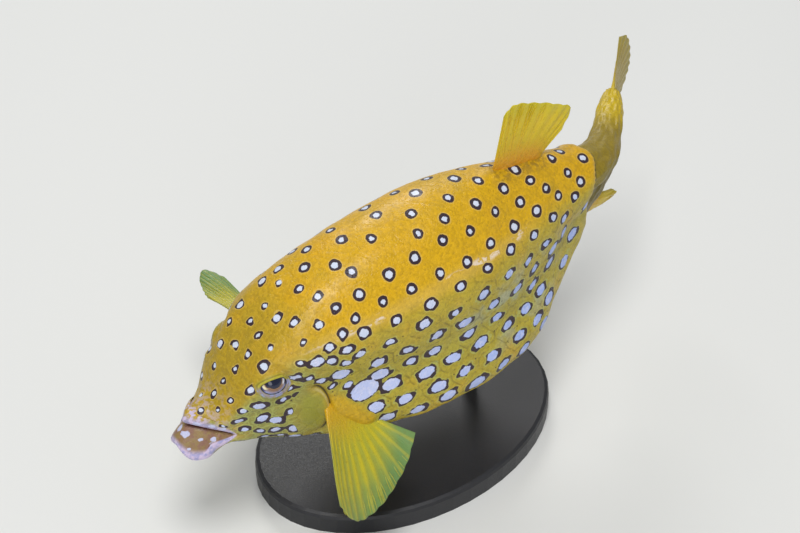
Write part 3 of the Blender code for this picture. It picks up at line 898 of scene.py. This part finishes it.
def make_eye(name, node, side, finish):
    """An eyeball with its front dome turned towards the gaze."""
    mirror = np.array((1, 1 if side == LEFT else -1, 1))
    centre, aim = EYE_CENTRE * mirror, unit(GAZE * mirror)
    level = unit(np.cross((0, 0, 1), aim))
    up = np.cross(aim, level)
    angle = np.radians(np.linspace(0, 180, EYE_STEPS + 1)[1:-1])
    rows, around = len(angle), EYE_AROUND
    turn = np.arange(around) * 2 * math.pi / around
    dome = EYE_DOME * (1 - fade(np.degrees(angle), 8, 40))
    reach = (EYE_RADIUS - EYE_GAP + dome)[:, None, None]
    flat = np.cos(turn)[:, None] * level + np.sin(turn)[:, None] * up
    forward, aside = np.cos(angle)[:, None, None], np.sin(angle)[:, None, None]
    points = centre + reach * (forward * aim + aside * flat[None])
    poles = centre + np.array([aim * (EYE_RADIUS + EYE_DOME - EYE_GAP), -aim * (EYE_RADIUS - EYE_GAP)])
    from_gaze = np.concatenate([np.repeat(np.degrees(angle), around), [0.0, 180.0]])
    found = np.vstack([points.reshape(-1, 3), poles])
    sideways = unit(found - centre) @ (level if side == LEFT else -level)
    sideways /= np.maximum(np.sin(np.radians(from_gaze)), 0.05)
    front, rear = fade(-sideways, 0.70, 0.90), fade(sideways, 0.75, 0.93)
    # The pupil is drawn out to a point at its front.
    pointed = from_gaze - 5.0 * front * fade(from_gaze, 8, 20)
    fields = {"from_gaze": pointed, "front": front, "rear": rear}
    eye = new_piece(name, found, closed_faces(rows, around), finish, fields)
    turn_outwards(eye.data)
    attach(eye, "root")
    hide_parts(node)


def turn_outwards(mesh):
    """Points a closed mesh's faces outwards."""
    points = np.empty(len(mesh.vertices) * 3)
    mesh.vertices.foreach_get("co", points)
    points = points.reshape(-1, 3)
    mesh.calc_loop_triangles()
    corners = np.empty(len(mesh.loop_triangles) * 3, int)
    mesh.loop_triangles.foreach_get("vertices", corners)
    a, b, c = points[corners.reshape(-1, 3)].transpose(1, 0, 2)
    if np.einsum("ij,ij->i", a, np.cross(b, c)).sum() < 0:
        mesh.flip_normals()


# Fins

def fan_sheet(base, tips, camber, across, out):
    """Points of a fin's middle sheet, at shares across it and outwards, in body coordinates."""
    base_at, tip_at = smooth_path(base), smooth_path(tips)
    start, end = base_at(across), tip_at(across)
    ray = end - start
    bow = unit(np.cross(tip_at(1.0) - tip_at(0.0), ray)) * (camber * np.sin(math.pi * across))[..., None]
    return start + ray * out[..., None] + bow * (out * out)[..., None]


def fin_thickness(out, root):
    flesh = np.maximum(0.0, 1 - out / FLESHY_PART) ** 1.5
    web = WEB * (1 - 0.5 * fade(out, 0.5, 1.0))
    return web + (root - WEB) * flesh


def make_web(name, node, base, tips, camber, root, rays, finish):
    """The fleshy root and pleated web of a fin, as one closed mesh."""
    share = np.linspace(0, 1, WEB_STEPS_ACROSS + 1)
    reach = np.linspace(0, 1, WEB_STEPS_OUT + 1) ** 0.9
    out, across = np.meshgrid(reach, share, indexing="ij")
    phase = across * rays
    ray = np.abs((phase % 1) - 0.5) * 2  # 0 on a ray, 1 half way to the next
    notch = 0.99 - 0.009 * ray**2 * fade(across, 0.0, 0.06) * (1 - fade(across, 0.94, 1.0))
    middle = fan_sheet(base, tips, camber, across, out * notch)
    normal = unit(np.cross(np.gradient(middle, axis=1), np.gradient(middle, axis=0)))
    pleat = 0.13 * np.cos(2 * math.pi * phase) * fade(out, 0.35, 0.8)
    pleat += 0.5 * ripple(middle, 14.0, 21) * out**2
    middle = middle + normal * pleat[..., None]
    half = fin_thickness(out, root) / 2
    margin = np.sqrt(np.clip(1 - (2 * across - 1) ** 6, 0.0, 1.0))
    half = half * (0.25 + 0.75 * margin)
    grain = 1 + 0.10 * ripple(middle, 1.3, 22) * (1 - fade(out, 0.1, 0.4))
    front, back = middle + normal * (half * grain)[..., None], middle - normal * half[..., None]
    loops = np.concatenate([front, back[:, ::-1]], axis=1)
    rows, around = loops.shape[:2]
    faces = list(ring_faces(rows, around))
    last = (rows - 1) * around
    for j in range(WEB_STEPS_ACROSS):
        twin = around - 1 - j
        faces.append((j + 1, j, twin, twin - 1))
        faces.append((last + j, last + j + 1, last + twin - 1, last + twin))
    fields = {"out": out, "across": across, "ray": ray}
    fields = {key: np.concatenate([values, values[:, ::-1]], axis=1) for key, values in fields.items()}
    web = new_piece(name, loops.reshape(-1, 3), faces, finish, fields)
    turn_outwards(web.data)
    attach(web, "root")
    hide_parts(node)


def ray_tree():
    """Turns lines that carry a ray_radius into round tapering rays."""
    tree = bpy.data.node_groups.new("Fin rays along their lines", "GeometryNodeTree")
    tree.interface.new_socket("Geometry", in_out="INPUT", socket_type="NodeSocketGeometry")
    thickness = tree.interface.new_socket("Thickness", in_out="INPUT", socket_type="NodeSocketFloat")
    sides = tree.interface.new_socket("Sides", in_out="INPUT", socket_type="NodeSocketInt")
    finish = tree.interface.new_socket("Finish", in_out="INPUT", socket_type="NodeSocketMaterial")
    tree.interface.new_socket("Geometry", in_out="OUTPUT", socket_type="NodeSocketGeometry")

    def add(kind, inputs, **settings):
        return add_node(tree, kind, inputs, **settings).outputs

    given = add("NodeGroupInput", {})
    radius = add("GeometryNodeInputNamedAttribute", {"Name": "ray_radius"}, data_type="FLOAT")[0]
    scaled = add("ShaderNodeMath", {0: radius, 1: given["Thickness"]}, operation="MULTIPLY")[0]
    lines = add("GeometryNodeMeshToCurve", {"Mesh": given["Geometry"]})[0]
    profile = add("GeometryNodeCurvePrimitiveCircle", {"Resolution": given["Sides"], "Radius": 1.0})[0]
    tubes = add("GeometryNodeCurveToMesh", {"Curve": lines, "Profile Curve": profile, "Scale": scaled,
                                           "Fill Caps": True})[0]
    smooth = add("GeometryNodeSetShadeSmooth", {"Geometry": tubes})[0]
    real = add("GeometryNodeRealizeInstances", {"Geometry": smooth})[0]
    painted = add("GeometryNodeSetMaterial", {"Geometry": real, "Material": given["Finish"]})[0]
    add("NodeGroupOutput", {0: painted})
    return tree, {socket.name: socket.identifier for socket in (thickness, sides, finish)}


def make_rays(name, base, tips, camber, count, finish, tree, sockets):
    """Branched rays on a fin's middle sheet."""
    points, edges, fields = [], [], {"out": [], "across": [], "ray_radius": []}
    spacing = 1 / count
    for k in range(count):
        middle = (k + 0.5) * spacing
        outer = k in (0, count - 1)
        branches = [(middle, middle, 0.06, 0.46)]
        split = 0 if outer else 0.16 * spacing
        for sign in ((-1, 1) if split else (0,)):
            at = middle + sign * split
            branches.append((middle, at, 0.46, 0.74))
            for twig in ((-1, 1) if split else (0,)):
                branches.append((at, at + twig * 0.11 * spacing, 0.74, 0.975))
        for start, end, low, high in branches:
            steps = max(6, int((high - low) * 40))
            out = np.linspace(low, high, steps)
            across = start + (end - start) * fade(out, low, low + 0.7 * (high - low))
            line = fan_sheet(base, tips, camber, across, out)
            joints = 1 + 0.12 * np.cos(out * 2 * math.pi * 26) * fade(out, 0.3, 0.45)
            radius = (0.52 - 0.38 * out) * (0.82 if start != end else 1.0) * joints
            first = len(points)
            points += list(line)
            edges += [(first + j, first + j + 1) for j in range(steps - 1)]
            fields["out"] += list(out)
            fields["across"] += list(across)
            fields["ray_radius"] += list(radius * MM)
    mesh = bpy.data.meshes.new(name + " lines")
    mesh.from_pydata(placed(points).tolist(), edges, [])
    carry(mesh, fields)
    lines = show(name + " lines", mesh)
    maker = lines.modifiers.new("rays", "NODES")
    maker.node_group = tree
    maker[sockets["Thickness"]] = 1.0
    maker[sockets["Sides"]] = RAY_SIDES
    maker[sockets["Finish"]] = finish
    bpy.context.view_layer.update()
    graph = bpy.context.evaluated_depsgraph_get()
    made = bpy.data.meshes.new_from_object(lines.evaluated_get(graph), depsgraph=graph)
    bpy.data.objects.remove(lines)
    rays = show(name, made)
    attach(rays, "root")


def make_fins():
    tree, sockets = ray_tree()
    golden = fin_finish("pectoral web", "CC9E0C", "B8AC12", "66884A", rear=0.45)
    golden_rays = fin_finish("pectoral rays", "CFA010", "BFB41C", "83964A", rear=0.45)
    back_web = fin_finish("dorsal web", "CC8A06", "D4B604", "C4B416")
    back_rays = fin_finish("dorsal rays", "C4840A", "C8A408", "C4B416")
    # The tail fin's darker olive is partly its own colour and partly painted shade.
    tail_web = fin_finish("tail web", "BFA416", "A08A28", "9A8C3A")
    tail_rays = fin_finish("tail rays", "B38A18", "8F7424", "94803A")
    right_base = np.array(PECTORAL_BASE) * (1, -1, 1)
    side_root, side_paint = PECTORAL_ROOT, (golden, golden_rays)
    fins = (  # node, base, tips, thickness at the root, camber, rays and finishes
        ("pectoral_fin_left", PECTORAL_BASE, PECTORAL_TIPS_LEFT, side_root, 2.5, 11, side_paint),
        ("pectoral_fin_right", right_base, PECTORAL_TIPS_RIGHT, side_root, -2.0, 11, side_paint),
        ("dorsal_fin", DORSAL_BASE, DORSAL_TIPS, MEDIAN_ROOT, 1.0, 9, (back_web, back_rays)),
        ("anal_fin", ANAL_BASE, ANAL_TIPS, MEDIAN_ROOT, 1.0, 9, (back_web, back_rays)),
        ("caudal_fin", CAUDAL_BASE, CAUDAL_TIPS, MEDIAN_ROOT, -4.0, 10, (tail_web, tail_rays)),
    )
    for node, base, tips, root, camber, count, (web_paint, ray_paint) in fins:
        make_web(node + "_web", node, base, tips, camber, root, count, web_paint)
        make_rays(node + "_rays", base, tips, camber, count, ray_paint, tree, sockets)


# The stand

def stand_finish(name, code, roughness, metallic, grain):
    r = Recipe(name)
    streaks = r.noise(grain, 4.0, r.stretched((1.0, 0.12, 1.0) if metallic else (1, 1, 1)))
    r.base = r.mix(r.fade(streaks, 0.3, 0.7, 0.0, 0.3), code, "8C8C90" if metallic else "2C2C30")
    normal = r.bump(streaks, 0.03)
    r.shader.inputs["Metallic"].default_value = metallic
    return r.finish(r.fade(streaks, 0.3, 0.7, roughness, roughness + 0.12), normal)


def finish_stand(frame):
    base_paint = stand_finish("satin dark base", "1C1C20", 0.38, 0.0, 0.6)
    rod_paint = stand_finish("brushed rod", "C8C8CC", 0.24, 1.0, 0.5)
    paints = {"stand_base": base_paint, "stand_rod_front": rod_paint, "stand_rod_rear": rod_paint}
    for name, paint in paints.items():
        node = frame["nodes"][name]
        node.data.materials.clear()
        node.data.materials.append(paint)


# The studio

def make_studio():
    floor_finish = Recipe("pale studio floor")
    cloudy = floor_finish.fade(floor_finish.noise(400.0), 0.3, 0.7, 0.0, 0.2)
    floor_finish.base = floor_finish.mix(cloudy, "D9D9D6", "D2D2CF")
    floor_finish.finish(0.75)
    half = 4.0
    corners = [(-half, -half, 0), (half, -half, 0), (half, half, 0), (-half, half, 0)]
    mesh = bpy.data.meshes.new("floor")
    mesh.from_pydata(corners, [], [(0, 1, 2, 3)])
    mesh.materials.append(floor_finish.material)
    floor = show("floor", mesh)

    middle = Vector((0.0, 0.0, 0.06))
    lights = (("key", (-0.25, -0.30, 1.15), 0.45, 8.5), ("fill", (-0.9, -1.1, 0.5), 0.9, 5.5),
              ("rim", (0.45, 0.9, 0.75), 0.5, 5.0))
    for name, place, size, power in lights:
        lamp = bpy.data.lights.new(name, "AREA")
        lamp.shape = "DISK"
        lamp.size = size
        lamp.energy = power
        made = show(name, lamp)
        made.location = place
        made.rotation_euler = (middle - Vector(place)).to_track_quat("-Z", "Y").to_euler()
    world = bpy.data.worlds.new("studio")
    world.use_nodes = True
    background = world.node_tree.nodes["Background"]
    background.inputs["Color"].default_value = colour("EEF1F4")
    background.inputs["Strength"].default_value = 0.42
    bpy.context.scene.world = world
    bpy.context.scene.view_settings.view_transform = "Standard"


def make_camera():
    a, e, roll = CAMERA_AZIMUTH, CAMERA_ELEVATION, CAMERA_ROLL
    back = Vector((math.sin(a) * math.cos(e), -math.cos(a) * math.cos(e), math.sin(e)))
    level = Vector((math.cos(a), math.sin(a), 0))
    up = back.cross(level)
    right = math.cos(roll) * level + math.sin(roll) * up
    up = -math.sin(roll) * level + math.cos(roll) * up
    target = Vector(placed(CAMERA_TARGET))
    lens = bpy.data.cameras.new("camera")
    lens.sensor_width = SENSOR_WIDTH
    lens.lens = PIXELS_PER_MM * CAMERA_DISTANCE * SENSOR_WIDTH / IMAGE[0]
    lens.shift_x = (IMAGE[0] / 2 - TARGET_PIXEL[0]) / IMAGE[0]
    lens.shift_y = (TARGET_PIXEL[1] - IMAGE[1] / 2) / IMAGE[0]
    lens.clip_start, lens.clip_end = 0.01, 20.0
    camera = show("camera", lens)
    camera.matrix_world = Matrix.Translation(target + back * CAMERA_DISTANCE * MM) @ Matrix(
        (right, up, back)).transposed().to_4x4()
    bpy.context.scene.camera = camera


make_camera()
make_studio()
make_skin(skin_finish())
eye_paint = eye_finish()
make_eye("eyeball_left", "eye_left", LEFT, eye_paint)
make_eye("eyeball_right", "eye_right", RIGHT, eye_paint)
make_fins()
finish_stand(frame)
